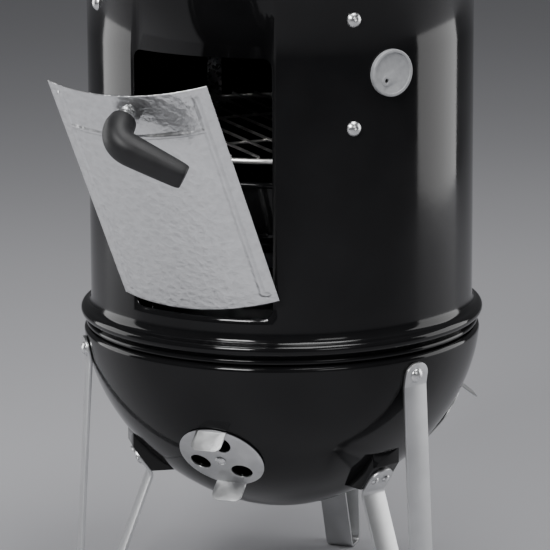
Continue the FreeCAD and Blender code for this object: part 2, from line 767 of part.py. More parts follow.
def hanger_fasteners():
    bolts, nuts = [], []
    for name, angle in HANGER_ANGLES.items():
        for height in ("upper_bolt_z", "lower_bolt_z"):
            outward = radial(angle)
            seat = at(angle, num("body_radius") + 0.1, num(height))
            bolts.append(bolt(seat, outward, num("wall") + num("hanger_thick") + num("nut_tall") + 3))
            nuts.append(nut(at(angle, inner_radius - 0.6 - num("hanger_thick"), num(height)), outward))
    feature("hanger_bolts", Part.makeCompound(bolts))
    feature("hanger_nuts", Part.makeCompound(nuts))


def probe_grommet():
    """A rubber grommet: flanges shaped to the wall, a neck through it and a slot for the probe lead."""
    placing = facing(at(num("grommet_angle"), 0, num("grommet_z")), radial(num("grommet_angle")))
    outer = num("body_radius")
    radius = num("grommet_radius")
    flange = Part.makeCylinder(radius, 14, Vector(0, 0, outer - 10))
    flange = flange.makeFillet(1.2, [edge for edge in flange.Edges
                                     if edge.CenterOfMass.z > outer + 3 and edge.Length > 20])
    recess = Part.makeCylinder(radius - 3, 5, Vector(0, 0, outer + 2.6))
    inside = Part.makeCylinder(radius - 2, 12, Vector(0, 0, outer - 14))
    neck = Part.makeCylinder(num("grommet_neck"), 14, Vector(0, 0, outer - 12))
    boss = Part.makeCylinder(5.0, 4.2, Vector(-6.5, -7.0, outer - 1))
    hole = Part.makeCylinder(2.2, 40, Vector(-6.5, -7.0, outer - 30))
    pieces = []
    for shape in (flange, recess, inside, neck, boss, hole):
        shape.Placement = placing.multiply(shape.Placement)
        pieces.append(shape)
    flange, recess, inside, neck, boss, hole = pieces
    full = Part.makeCylinder(outer, 120, Vector(0, 0, num("grommet_z") - 60))
    hollow = Part.makeCylinder(inner_radius, 120, Vector(0, 0, num("grommet_z") - 60))
    shape = flange.cut(full).cut(recess).fuse([inside.common(hollow), neck, boss]).cut(hole)
    return feature("probe_grommet", shape.removeSplitter())


# ---------------------------------------------------------------- door and its handle

ferrule_top = 5.4
DOOR_AXIS = Vector(0, -num("rocker_out"), num("door_low_z") - num("rocker_down"))
rocker_line = radial(90 - num("rocker_skew"))
door_open = Placement(Vector(0, 0, 0), Rotation(rocker_line, num("door_lean")), DOOR_AXIS)
door_inside = num("body_radius") + num("door_gap")
door_outside = door_inside + num("door_thick")
spindle_z = num("door_low_z") + num("door_tall") - num("spindle_drop")
spindle_base = Vector(0, 0, spindle_z)
handle_turn = Placement(Vector(0, 0, 0), Rotation(Vector(0, -1, 0), num("latch_turn")), spindle_base)


def curved_slab(inner, outer, half_angle, low, tall):
    """A piece of tube on the door side between two radii."""
    face = Part.Face(Part.makePolygon([Vector(inner, 0, low), Vector(outer, 0, low),
                                       Vector(outer, 0, low + tall), Vector(inner, 0, low + tall),
                                       Vector(inner, 0, low)]))
    solid = face.revolve(Vector(0, 0, 0), Vector(0, 0, 1), 2 * half_angle)
    solid.rotate(Vector(0, 0, 0), Vector(0, 0, 1), -90 - half_angle)
    return solid


def door_panel():
    """The curved aluminium panel with its pressed ribs."""
    half = num("door_half_angle")
    low = num("door_low_z")
    tall = num("door_tall")
    rib = num("rib_radius")
    panel = curved_slab(door_inside, door_outside, half, low, tall)
    inset = math.degrees(num("rib_inset") / num("body_radius"))
    middle = door_outside - rib * 0.45
    ribs = []
    for side in (-1, 1):
        spot = at(side * (half - inset), middle, low + rib * 5)
        ribs.append(Part.makeCylinder(rib, tall - rib * 9, spot))
        ribs.append(Part.makeSphere(rib, spot))
        ribs.append(Part.makeSphere(rib, spot + Vector(0, 0, tall - rib * 9)))
    level = low + tall - num("rib_drop")
    hoop = Part.makeTorus(middle, rib, Vector(0, 0, level), Vector(0, 0, 1), 0, 360, 2 * (half - inset))
    hoop.rotate(Vector(0, 0, 0), Vector(0, 0, 1), -90 - (half - inset))
    shape = panel.multiFuse(ribs + [hoop])
    shape = shape.cut(Part.makeCylinder(door_inside, 2 * tall, Vector(0, 0, low - tall / 2)))
    hole = num("spindle_radius") + num("spindle_clearance")
    shape = shape.cut(bore(Vector(0, -num("body_radius"), spindle_z), Vector(0, -1, 0), hole, 20))
    return feature("door_panel", shape.removeSplitter(), door_open)


def door_hooks():
    """Two bent tabs behind the bottom edge that hook over the sill of the opening."""
    sill = num("opening_low_z")
    thick = num("door_thick")
    neck_z = sill + 1.0
    deep = 9.0
    for side, name in ((-1, "left"), (1, "right")):
        angle = side * num("opening_half_angle") * 0.62
        points = [Vector(door_inside, 0, neck_z + 22), Vector(door_inside, 0, neck_z),
                  Vector(inner_radius - deep + 1, 0, neck_z), Vector(inner_radius - deep + 1, 0, sill - 11)]
        strip = bent_strip(points, 2.0, thick, num("hook_wide"))
        if strip.isInside(Vector(door_inside + thick / 2, 0, neck_z + 15), 0.01, True):
            strip = bent_strip(points, 2.0, -thick, num("hook_wide"))
        strip.Placement = standing(angle)
        shell = Part.makeCylinder(door_inside - 0.02, 100, Vector(0, 0, sill - 50))
        strip = strip.common(shell)
        feature("door_hook_" + name, strip, door_open)


def door_ferrule():
    """The metal collar between the panel and the handle."""
    collar = bore(Vector(0, -door_outside - 2.5, spindle_z), Vector(0, -1, 0), 9.5, 2.5)
    collar = collar.cut(Part.makeCylinder(door_outside, 60, Vector(0, 0, spindle_z - 30)))
    spindle_hole = num("spindle_radius") + num("spindle_clearance")
    collar = collar.cut(bore(Vector(0, -door_outside, spindle_z), Vector(0, -1, 0), spindle_hole, 20))
    return feature("door_ferrule", collar, door_open)


def door_handle():
    """The elbow lever, drawn pointing down and then turned to the open side."""
    radius = num("lever_radius")
    start = door_outside + ferrule_top
    bend = radius + 5
    turn_y = door_outside + num("lever_out")
    placing = door_open.multiply(handle_turn)
    outward = Vector(0, -1, 0)
    boss = Part.makeCone(radius + 1, radius + 2.5, turn_y - bend - start,
                         Vector(0, -start, spindle_z), outward)
    rim = Part.makeCircle(radius + 2.5, Vector(0, bend - turn_y, spindle_z), outward)
    elbow = Part.Face(Part.Wire(rim)).revolve(Vector(0, bend - turn_y, spindle_z - bend), Vector(1, 0, 0), 90)
    arm_long = num("lever_long") - bend
    wide, slim = 2.0 * radius + 2, 1.5 * radius
    upper = profile_rectangle(2 * radius + 4.6, 2 * radius + 4.6, -turn_y, spindle_z - bend)
    lower = profile_rectangle(wide, slim, -turn_y + 1.0, spindle_z - bend - arm_long)
    arm = Part.makeLoft([upper, lower], True, True)
    shape = boss.fuse([elbow, arm])
    socket = bore(Vector(0, -start, spindle_z), outward, num("spindle_radius"), 12)
    shape = shape.cut(socket).removeSplitter()
    feature("door_handle", shape, placing)


def profile_rectangle(wide, deep, middle_y, level):
    """A level rounded rectangle, the lever's cross-section."""
    corner = min(wide, deep) * 0.32
    half_x, half_y = wide / 2, deep / 2
    points = [Vector(0, middle_y - half_y, level), Vector(half_x, middle_y - half_y, level),
              Vector(half_x, middle_y + half_y, level), Vector(-half_x, middle_y + half_y, level),
              Vector(-half_x, middle_y - half_y, level), Vector(0, middle_y - half_y, level)]
    return Part.Wire(rounded_path(points, corner))


def door_spindle():
    """The steel pin through the door and the latch blade on its inner end."""
    blade_y = math.sqrt(inner_radius ** 2 - (num("latch_long") + 6) ** 2) - 2.5
    thick = 1.5
    start = door_outside + ferrule_top
    placing = door_open.multiply(handle_turn)
    inner_end = Vector(0, -blade_y + thick, spindle_z)
    pin = rod(inner_end, Vector(0, -start - 12, spindle_z), num("spindle_radius"))
    feature("door_spindle", pin, placing)
    half = 4.5
    blade = Part.makeBox(2 * half, thick, num("latch_long") + half,
                         Vector(-half, -blade_y, spindle_z - half * 1.3))
    ends = [edge for edge in blade.Edges if abs(edge.Length - thick) < 0.01]
    blade = blade.makeFillet(half * 0.9, ends)
    blade = blade.cut(bore(Vector(0, -blade_y, spindle_z), Vector(0, 1, 0), num("spindle_radius"), 6))
    feature("door_latch", blade, placing)


# ---------------------------------------------------------------- lid

lid_inside = num("body_radius") + num("lid_gap")
lid_outside = lid_inside + num("wall")
lid_low = section_top - num("lid_overlap")
lid_shoulder = lid_low + num("lid_skirt")


def lid_solid(thick=0.0):
    """The lid's outer volume, or the hollow inside it when a thickness is given."""
    edges = [dome_curve(lid_outside, num("lid_rise"), num("lid_power"), 1, lid_shoulder, thick),
             line(Vector(lid_outside - thick, 0, lid_shoulder), Vector(lid_outside - thick, 0, lid_low)),
             line(Vector(lid_outside - thick, 0, lid_low), Vector(0, 0, lid_low)),
             line(Vector(0, 0, lid_low), Vector(0, 0, lid_shoulder + num("lid_rise") - thick))]
    return spun(edges)


def lid_frame(tilt, angle):
    """A point on the lid's outside whose normal leans by the tilt from upright."""
    best = min(range(5, 900), key=lambda k: abs(lid_normal_tilt(k / 10.0) - tilt))
    spot, normal = lid_edge(best / 10.0)
    placing = standing(angle)
    return facing(placing.multVec(spot), placing.Rotation.multVec(normal))


def lid_edge(turn):
    step = 0.05

    def point(value):
        across, up = dome_point(lid_outside, num("lid_rise"), num("lid_power"), value)
        return Vector(across, 0, lid_shoulder + up)

    run = point(turn - step) - point(turn + step)
    return point(turn), Vector(-run.z, 0, run.x).normalize()


def lid_normal_tilt(turn):
    normal = lid_edge(turn)[1]
    return math.degrees(math.acos(max(-1.0, min(1.0, normal.z))))


dial_place = lid_frame(num("lid_fitting_tilt"), 0)
vent_place = lid_frame(num("lid_fitting_tilt") - 14, 180)


def lid_shell():
    shape = lid_solid().cut(lid_solid(num("wall")))
    lip = Part.makeTorus(lid_outside + 0.6, 2.4, Vector(0, 0, lid_low + 2.4))
    lip = lip.cut(Part.makeCylinder(lid_inside, 30, Vector(0, 0, lid_low - 5)))
    shape = shape.fuse(lip)
    for side in (-1, 1):
        shape = shape.cut(Part.makeCylinder(shank_hole, 60, Vector(side * grip_foot, 0, lid_top - 30)))
    drills = [Part.makeCylinder(5.2, 40, Vector(0, 0, -20))]
    for drill in drills:
        drill.Placement = dial_place.multiply(drill.Placement)
        shape = shape.cut(drill)
    holes = [Part.makeCylinder(shank_hole, 40, Vector(0, 0, -20))]
    for hole in vent_places(num("lid_vent_ring")):
        holes.append(Part.makeCylinder(num("lid_vent_radius") - 0.5, 40, hole - Vector(0, 0, 20)))
    for drill in holes:
        drill.Placement = vent_place.multiply(drill.Placement)
        shape = shape.cut(drill)
    return feature("lid_shell", shape.removeSplitter())


grip_foot = num("grip_long") * 0.4
lid_top = lid_shoulder + num("lid_rise")


def lid_grip():
    """The nylon grip, the metal shield under it, and the two screws from inside the lid."""
    foot_z = lid_shield_top
    long, tall, thick = num("grip_long"), num("grip_tall"), num("grip_thick")
    grip = Part.makeBox(long, thick, tall, Vector(-long / 2, -thick / 2, foot_z))
    window = Part.makeBox(long * 0.62, thick, tall * 0.5, Vector(-long * 0.31, -thick / 2, foot_z))
    grip = grip.cut(window)
    soft = [edge for edge in grip.Edges if edge.CenterOfMass.z > foot_z + tall - 0.1]
    grip = grip.makeFillet(thick * 0.3, soft)
    screw_reach = 12.0
    for side in (-1, 1):
        spot = Vector(side * grip_foot, 0, foot_z)
        grip = grip.cut(Part.makeCylinder(num("bolt_radius"), screw_reach, spot))
    feature("lid_grip", grip)
    shield = Part.makeBox(long + 8, thick + 26, 1.2, Vector(-long / 2 - 4, -thick / 2 - 13, foot_z - 1.2))
    corners = [edge for edge in shield.Edges if abs(edge.Length - 1.2) < 0.01]
    shield = shield.makeFillet(10, corners)
    for side in (-1, 1):
        shield = shield.cut(Part.makeCylinder(shank_hole, 10, Vector(side * grip_foot, 0, foot_z - 5)))
    feature("lid_grip_shield", shield)
    spacers, screws = [], []
    hollow = lid_solid()
    for side in (-1, 1):
        post = Part.makeCylinder(7.0, 40, Vector(side * grip_foot, 0, foot_z - 1.2 - 40)).cut(hollow)
        post = post.cut(Part.makeCylinder(shank_hole, 60, Vector(side * grip_foot, 0, foot_z - 50)))
        spacers.append(post)
        inside_z = lid_height_at(grip_foot + 6) - num("wall") - 0.8
        shank = Part.makeCylinder(num("bolt_radius"), foot_z + screw_reach - inside_z,
                                  Vector(side * grip_foot, 0, inside_z))
        head = Part.makeCylinder(6.0, 3.0, Vector(side * grip_foot, 0, inside_z - 3.0))
        screws.append(shank.fuse(head).removeSplitter())
    feature("lid_grip_spacers", Part.makeCompound(spacers))
    feature("lid_grip_screws", Part.makeCompound(screws))


def lid_height_at(radius):
    """The height of the lid's outside at a radius near the top."""
    share = 2.0 / num("lid_power")
    turn = math.degrees(math.acos((radius / lid_outside) ** (1 / share)))
    return lid_shoulder + dome_point(lid_outside, num("lid_rise"), num("lid_power"), turn)[1]


lid_shield_top = lid_top + 4.5


NEEDLE_ZERO = 130.0


def lid_thermometer():
    """A dial thermometer: case, face, needle, lens, stem and nut, along the lid's normal."""
    radius = num("dial_radius")
    lift = 4.5
    case = Part.makeCylinder(radius, 12, Vector(0, 0, lift))
    case = case.cut(Part.makeCylinder(radius - 2, 11, Vector(0, 0, lift + 2)))
    case = case.fuse(Part.makeCylinder(9, 5, Vector(0, 0, lift - 4)))
    case = case.cut(Part.makeCylinder(4.0, 30, Vector(0, 0, -10)))
    face = Part.makeCylinder(radius - 2, 1.0, Vector(0, 0, lift + 2))
    face = face.cut(Part.makeCylinder(1.6, 10, Vector(0, 0, lift)))
    lens = Part.makeCylinder(radius - 2, 1.5, Vector(0, 0, lift + 10))
    stem = Part.makeCylinder(4.0, 26, Vector(0, 0, lift - 24))
    ring = hexagon(16.0, 4.0, Placement(Vector(0, 0, -12.5), Rotation())).cut(
        Part.makeCylinder(4.0, 30, Vector(0, 0, -20)))
    pointer = Part.makeBox(2.0, radius - 7, 0.8, Vector(-1.0, -3.0, lift + 5))
    hub = Part.makeCylinder(3.0, 2.0, Vector(0, 0, lift + 4.4))
    pin = Part.makeCylinder(1.2, 2.6, Vector(0, 0, lift + 2.4))
    needle = pointer.fuse([hub, pin]).removeSplitter()
    for label, shape in (("thermometer_case", case), ("thermometer_face", face), ("thermometer_lens", lens),
                         ("thermometer_stem", stem), ("thermometer_nut", ring)):
        feature(label, shape, dial_place)
    turned = dial_place.multiply(Placement(Vector(0, 0, 0), Rotation(Vector(0, 0, 1), NEEDLE_ZERO)))
    feature("thermometer_needle", needle, turned)


def lid_vent():
    shape = damper_shape(num("lid_damper_radius"), num("lid_vent_ring"), num("lid_vent_radius"), (1,),
                         4 * lid_outside)
    lifted = vent_place.multiply(Placement(Vector(0, 0, num("damper_gap")), Rotation()))
    feature("lid_damper", shape, lifted)
    rivet = rivet_shape(num("rivet_head"), num("wall") + 0.6, num("damper_thick"))
    feature("lid_damper_rivet", rivet, vent_place)


# ---------------------------------------------------------------- build, check and write

charcoal_bowl()
bowl_dampers()
legs()
leg_brackets()
leg_fasteners()
grate_tabs()
round_grate("charcoal_grate", charcoal_grate_radius, num("charcoal_grate_z"), num("charcoal_pitch"),
            num("rod_radius"), num("rim_rod_radius"), 0)
charcoal_ring()
centre_section()
grill_hangers()
hanger_fasteners()
probe_grommet()
water_pan()
round_grate("lower_grate", grate_radius, num("lower_grate_z"), num("grate_pitch"),
            num("rod_radius"), num("rim_rod_radius"), num("grate_turn"))
round_grate("upper_grate", grate_radius, num("upper_grate_z"), num("grate_pitch"),
            num("rod_radius"), num("rim_rod_radius"), num("grate_turn"))
door_panel()
door_hooks()
door_ferrule()
door_handle()
door_spindle()
lid_shell()
lid_grip()
lid_thermometer()
lid_vent()

doc.recompute()
for thing in doc.Objects:
    if "Invalid" in thing.State or "Error" in thing.State:
        raise RuntimeError(thing.Label + " failed to build")
for thing in PARTS:
    if thing.Shape.isNull() or not thing.Shape.isValid():
        raise RuntimeError(thing.Label + " has a bad shape")

os.makedirs("parts", exist_ok=True)
for thing in PARTS:
    thing.Shape.exportStep("parts/%s.step" % thing.Label)
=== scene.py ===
"""Looks of the vertical water smoker: finishes, refined pieces, studio and camera round the fixed frame."""
import json
import math

import bmesh
import bpy
from mathutils import Matrix, Vector

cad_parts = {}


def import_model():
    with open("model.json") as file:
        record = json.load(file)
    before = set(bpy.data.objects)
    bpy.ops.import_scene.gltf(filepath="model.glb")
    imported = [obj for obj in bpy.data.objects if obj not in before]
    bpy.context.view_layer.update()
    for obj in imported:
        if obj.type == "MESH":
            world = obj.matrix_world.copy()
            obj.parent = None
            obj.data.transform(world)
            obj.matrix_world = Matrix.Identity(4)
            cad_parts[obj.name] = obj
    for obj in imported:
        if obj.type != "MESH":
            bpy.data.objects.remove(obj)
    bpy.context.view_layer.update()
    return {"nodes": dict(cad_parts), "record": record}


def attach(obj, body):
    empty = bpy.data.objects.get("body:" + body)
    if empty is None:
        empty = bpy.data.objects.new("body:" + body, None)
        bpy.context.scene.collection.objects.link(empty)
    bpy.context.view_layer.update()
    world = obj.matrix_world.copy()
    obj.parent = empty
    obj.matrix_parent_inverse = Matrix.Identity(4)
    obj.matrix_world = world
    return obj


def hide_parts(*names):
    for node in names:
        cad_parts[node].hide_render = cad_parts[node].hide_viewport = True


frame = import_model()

MM = 0.001
UP = Vector((0, 0, 1))

# ---------------------------------------------------------------- places read from the frame


def joint_named(name):
    return next(joint for joint in frame["record"]["behaviour"]["joints"] if joint["name"] == name)


def joint_place(name):
    """A point on a joint's axis, in millimetres, and the axis."""
    joint = joint_named(name)
    return Vector(joint["pos_m"]) / MM, Vector(joint["axis"]).normalized()


def body_of_node(node):
    bodies = frame["record"]["behaviour"]["bodies"]
    return next(body for body, nodes in bodies.items() if node in nodes)


SLOTS = {part["node"]: part["material_slot"] for part in frame["record"]["subparts"]}

# ---------------------------------------------------------------- shader kit


class Socket:
    """An output socket that can stand in a Python expression."""

    def __init__(self, graph, socket):
        self.graph = graph
        self.socket = socket

    def math(self, operation, first, second):
        return self.graph.node("ShaderNodeMath", {"operation": operation}, {0: first, 1: second})

    def __add__(self, other):
        return self.math("ADD", self, other)

    def __sub__(self, other):
        return self.math("SUBTRACT", self, other)

    def __mul__(self, other):
        return self.math("MULTIPLY", self, other)

    def __truediv__(self, other):
        return self.math("DIVIDE", self, other)

    def __rsub__(self, other):
        return self.math("SUBTRACT", other, self)

    def __rtruediv__(self, other):
        return self.math("DIVIDE", other, self)

    __radd__ = __add__
    __rmul__ = __mul__


CLOUD_SPAN = (0.3, 0.7)


class Graph:
    """A material's node tree with one Principled shader."""

    def __init__(self, name, color, roughness, metallic=0.0, **constants):
        self.material = bpy.data.materials.new(name)
        self.material.use_nodes = True
        self.tree = self.material.node_tree
        self.shader = next(node for node in self.tree.nodes if node.type == "BSDF_PRINCIPLED")
        self.feed("Base Color", self.color(color))
        self.feed("Roughness", roughness)
        self.feed("Metallic", metallic)
        for socket, value in constants.items():
            self.feed(socket, value)

    def feed(self, socket, value):
        self.plug(self.shader.inputs[socket], value)

    def plug(self, target, value):
        if isinstance(value, Socket):
            self.tree.links.new(value.socket, target)
        else:
            target.default_value = value

    def node(self, kind, settings=None, sockets=None, output=0):
        made = self.tree.nodes.new(kind)
        for name, value in (settings or {}).items():
            setattr(made, name, value)
        for name, value in (sockets or {}).items():
            self.plug(made.inputs[name], value)
        return Socket(self, made.outputs[output])

    def place(self, stretch=(1, 1, 1)):
        """Object coordinates in millimetres, stretched."""
        scale = tuple(factor / MM for factor in stretch)
        where = self.node("ShaderNodeTexCoord", output="Object")
        return self.node("ShaderNodeMapping", None, {"Vector": where, "Scale": scale})

    def noise(self, where, size, detail=3.0, rough=0.5):
        """Smooth noise whose features are about the size given, in millimetres."""
        return self.node("ShaderNodeTexNoise", None,
                         {"Vector": where, "Scale": 1.0 / size, "Detail": detail, "Roughness": rough})

    def blisters(self, where, size, smoothness):
        """Smooth round cells of about the size given, in millimetres."""
        return self.node("ShaderNodeTexVoronoi", {"feature": "SMOOTH_F1"},
                         {"Vector": where, "Scale": 1.0 / size, "Smoothness": smoothness})

    def ramp(self, factor, low, high, start=0.0, end=1.0):
        """Runs from start to end while the factor runs from low to high, held to that range."""
        return self.node("ShaderNodeMapRange", {"clamp": True},
                         {"Value": factor, "From Min": low, "From Max": high, "To Min": start, "To Max": end})

    def mix(self, factor, first, second):
        """Colour first where the factor is 0 and second where it is 1."""
        return self.node("ShaderNodeMix", {"data_type": "RGBA"},
                         {0: factor, 6: self.color(first), 7: self.color(second)}, output=2)

    @staticmethod
    def color(value):
        return value if isinstance(value, Socket) else (*value, 1.0)

    def worn(self, cloud, smoothest, roughest):
        """Roughness that drifts with a cloud of noise."""
        self.feed("Roughness", self.ramp(cloud, *CLOUD_SPAN, smoothest, roughest))

    def tinted(self, cloud, dark, light, span=CLOUD_SPAN):
        """Colour that drifts with a cloud of noise, or with a relief's height where it paints shade and
        highlight.
        """
        self.feed("Base Color", self.mix(self.ramp(cloud, *span), dark, light))

    def bump(self, height, depth, strength=1.0):
        """Relief of the given depth in millimetres from a height between 0 and 1."""
        self.feed("Normal", self.node("ShaderNodeBump", None,
                                      {"Height": height, "Distance": depth * MM, "Strength": strength}))


# ---------------------------------------------------------------- finishes


def black_enamel():
    graph = Graph("black_enamel", (0.0045, 0.0045, 0.005), 0.1, IOR=1.33)
    where = graph.place()
    haze = graph.noise(where, 60.0, 4.0)
    graph.worn(haze, 0.07, 0.12)
    graph.tinted(haze, (0.0042, 0.0042, 0.0046), (0.0065, 0.0065, 0.007), (0.35, 0.7))
    graph.bump(graph.noise(where, 9.0, 2.0), 0.05, 0.35)
    return graph.material


def leg_aluminium():
    """Rolled strap, with fine lines along its length."""
    graph = Graph("leg_aluminium", (0.56, 0.565, 0.57), 0.36, 1.0)
    lines = graph.noise(graph.place((1, 1, 0.03)), 0.5)
    graph.worn(lines, 0.3, 0.42)
    graph.tinted(graph.noise(graph.place(), 30.0, 4.0), (0.52, 0.525, 0.53), (0.6, 0.605, 0.61))
    graph.bump(lines, 0.02, 0.4)
    return graph.material


def damper_aluminium():
    graph = Graph("damper_aluminium", (0.76, 0.765, 0.77), 0.34, 1.0)
    cloud = graph.noise(graph.place(), 18.0, 4.0)
    graph.worn(cloud, 0.28, 0.42)
    graph.tinted(cloud, (0.56, 0.565, 0.57), (0.66, 0.665, 0.67))
    graph.bump(graph.noise(graph.place((1, 0.08, 1)), 0.7), 0.02, 0.4)
    return graph.material


def door_aluminium():
    """Satin aluminium sheet with a stucco embossing of shallow crumpled blisters, and painted highlight on
    the raised blisters and painted shade in the hollows.
    """
    graph = Graph("door_aluminium", (0.74, 0.745, 0.75), 0.33, 1.0)
    where = graph.place()
    warp = graph.node("ShaderNodeTexNoise", None, {"Vector": where, "Scale": 0.25, "Detail": 2.0}, output=1)
    bent = graph.node("ShaderNodeMix", {"data_type": "VECTOR"}, {0: 0.35, 4: where, 5: warp}, output=1)
    blisters = graph.blisters(bent, 5.2, 0.4)
    wrinkles = graph.noise(where, 4.2, 3.0, 0.55)
    height = blisters * 0.6 + wrinkles * 0.7
    graph.worn(graph.noise(where, 25.0), 0.29, 0.38)
    # painted shade and highlight: the colour follows the relief's height, lighter on the raised blisters and
    # darker in the hollows between them
    graph.tinted(height, (0.7, 0.705, 0.71), (0.8, 0.805, 0.81), (0.35, 0.9))
    graph.bump(height, 1.1)
    return graph.material


def zinc_steel():
    graph = Graph("zinc_steel", (0.62, 0.63, 0.64), 0.27, 1.0)
    cloud = graph.noise(graph.place(), 4.0, 4.0)
    graph.worn(cloud, 0.2, 0.36)
    graph.tinted(cloud, (0.56, 0.57, 0.58), (0.7, 0.7, 0.7))
    return graph.material


def plated_rod():
    graph = Graph("plated_rod", (0.8, 0.79, 0.77), 0.34, 1.0)
    cloud = graph.noise(graph.place(), 11.0, 4.0)
    graph.worn(cloud, 0.28, 0.42)
    graph.tinted(cloud, (0.74, 0.73, 0.71), (0.86, 0.85, 0.83), (0.3, 0.75))
    return graph.material


def plain_steel():
    graph = Graph("plain_steel", (0.35, 0.35, 0.36), 0.42, 1.0)
    cloud = graph.noise(graph.place(), 14.0, 5.0)
    graph.worn(cloud, 0.34, 0.55)
    graph.tinted(cloud, (0.27, 0.27, 0.28), (0.42, 0.42, 0.43))
    return graph.material


def grommet_rubber():
    graph = Graph("grommet_rubber", (0.3, 0.305, 0.315), 0.48)
    cloud = graph.noise(graph.place(), 6.0, 4.0)
    graph.worn(cloud, 0.42, 0.56)
    graph.tinted(cloud, (0.27, 0.275, 0.285), (0.34, 0.345, 0.355))
    graph.bump(graph.noise(graph.place(), 0.6, 2.0), 0.02, 0.3)
    return graph.material


def black_nylon():
    graph = Graph("black_nylon", (0.012, 0.012, 0.013), 0.5, IOR=1.4)
    where = graph.place()
    cloud = graph.noise(where, 12.0)
    graph.worn(cloud, 0.44, 0.54)
    graph.tinted(cloud, (0.01, 0.01, 0.011), (0.015, 0.015, 0.016))
    graph.bump(graph.noise(where, 0.35, 2.0), 0.015, 0.4)
    return graph.material


def clear_glass():
    graph = Graph("clear_glass", (0.95, 0.97, 0.97), 0.03, Alpha=0.18)
    smudge = graph.noise(graph.place(), 9.0)
    graph.feed("Roughness", graph.ramp(smudge, 0.4, 0.8, 0.02, 0.08))
    graph.material.surface_render_method = "BLENDED"
    return graph.material


def dial_needle():
    graph = Graph("dial_needle", (0.45, 0.02, 0.015), 0.35)
    graph.worn(graph.noise(graph.place(), 3.0, 2.0), 0.3, 0.42)
    return graph.material


DIAL_RADIUS = 22.0
DIAL_SWEEP = 0.37
WARM_SWEEP = 0.12
EDGE_TURNS = 0.005
EDGE_MM = 0.15


def dial_face():
    """White printed dial: a grey rim, two rings of plain ticks and a coloured arc, round the dial's axis."""
    centre, axis = joint_place("thermometer_needle_turn")
    level = UP.cross(axis).normalized()
    upright = axis.cross(level)
    graph = Graph("dial_face", (0.86, 0.86, 0.84), 0.45)
    where = graph.node("ShaderNodeTexCoord", output="Object")
    offset = graph.node("ShaderNodeVectorMath", {"operation": "SUBTRACT"}, {0: where, 1: tuple(centre * MM)})

    def worked(operation, *values):
        return graph.node("ShaderNodeMath", {"operation": operation}, dict(enumerate(values)))

    def along(direction):
        return graph.node("ShaderNodeVectorMath", {"operation": "DOT_PRODUCT"},
                          {0: offset, 1: tuple(direction / MM)}, output="Value")

    across, height = along(level), along(upright)
    distance = worked("SQRT", across * across + height * height)
    turns = worked("ARCTAN2", across, height) / math.tau
    away = worked("ABSOLUTE", turns)

    def band(inner, outer):
        """A ring between two shares of the dial's radius."""
        rise = graph.ramp(distance, DIAL_RADIUS * inner, DIAL_RADIUS * inner + EDGE_MM)
        return rise * graph.ramp(distance, DIAL_RADIUS * outer, DIAL_RADIUS * outer + EDGE_MM, 1.0, 0.0)

    def ticks(count, width, inner, outer):
        saw = worked("FRACT", turns * count + 0.5)
        off = worked("ABSOLUTE", saw - 0.5)
        edge = width * count
        return graph.ramp(off * distance, edge, edge * 1.3, 1.0, 0.0) * band(inner, outer)

    scale = graph.ramp(away, DIAL_SWEEP, DIAL_SWEEP + EDGE_TURNS, 1.0, 0.0)
    marks = (ticks(48, 0.01, 0.82, 0.92) + ticks(12, 0.02, 0.74, 0.92)) * scale
    from_left = graph.ramp(turns, -WARM_SWEEP, EDGE_TURNS - WARM_SWEEP)
    to_right = graph.ramp(turns, WARM_SWEEP, WARM_SWEEP + EDGE_TURNS, 1.0, 0.0)
    warm = from_left * to_right * band(0.6, 0.68)
    printed = graph.mix(warm, (0.84, 0.84, 0.82), (0.62, 0.2, 0.05))
    rimmed = graph.mix(band(0.95, 1.2), printed, (0.3, 0.3, 0.31))
    graph.feed("Base Color", graph.mix(graph.ramp(marks, 0.0, 1.0), rimmed, (0.03, 0.03, 0.03)))
    return graph.material


MAKERS = (black_enamel, leg_aluminium, damper_aluminium, door_aluminium, zinc_steel, plated_rod, plain_steel,
          grommet_rubber, black_nylon, clear_glass, dial_face, dial_needle)
FINISHES = {make.__name__: make() for make in MAKERS}

# ---------------------------------------------------------------- mesh kit

SHARP = 32
SHEET_SHARP = 40
MERGE_MM = 0.002
FLAT_DEGREES = 0.4
EDGE_SEGMENTS = 2


def linked(name, data):
    thing = bpy.data.objects.new(name, data)
    bpy.context.scene.collection.objects.link(thing)
    return thing


def mesh_thing(name, bm):
    mesh = bpy.data.meshes.new(name)
    bm.to_mesh(mesh)
    bm.free()
    return linked(name, mesh)


def piece(bm, name, node, sharp=SHARP):
    """Turn a bmesh drawn in millimetres into a finished piece that stands for a CAD node.

    Shading is smooth, with the edges above the sharp angle left sharp.
    """
    bmesh.ops.transform(bm, matrix=Matrix.Scale(MM, 4), verts=bm.verts)
    thing = mesh_thing(name, bm)
    thing.data.polygons.foreach_set("use_smooth", [True] * len(thing.data.polygons))
    thing.data.set_sharp_from_angle(angle=math.radians(sharp))
    thing.data.materials.append(FINISHES[SLOTS[node]])
    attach(thing, body_of_node(node))
    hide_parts(node)
    return thing


def refined(node, round_off):
    """A copy of a CAD node, merged, with its edges rounded off by the millimetres given."""
    bm = bmesh.new()
    bm.from_mesh(frame["nodes"][node].data)
    bmesh.ops.transform(bm, matrix=Matrix.Scale(1 / MM, 4), verts=bm.verts)
    bmesh.ops.remove_doubles(bm, verts=bm.verts, dist=MERGE_MM)
    bmesh.ops.dissolve_limit(bm, angle_limit=math.radians(FLAT_DEGREES), verts=bm.verts, edges=bm.edges)
    edges = [edge for edge in bm.edges
             if len(edge.link_faces) == 2 and edge.calc_face_angle(0) > math.radians(SHARP)]
    bmesh.ops.bevel(bm, geom=edges, offset=round_off, offset_type="OFFSET", segments=EDGE_SEGMENTS,
                    profile=0.5, affect="EDGES", clamp_overlap=True, material=-1)
    return piece(bm, node + "_look", node)


def walled(thing):
    """Give a sheet its thickness, inwards from the face that was drawn."""
    wall = thing.modifiers.new("wall", "SOLIDIFY")
    wall.thickness = WALL * MM
    wall.offset = -1


# ---------------------------------------------------------------- CAD nodes with a finish

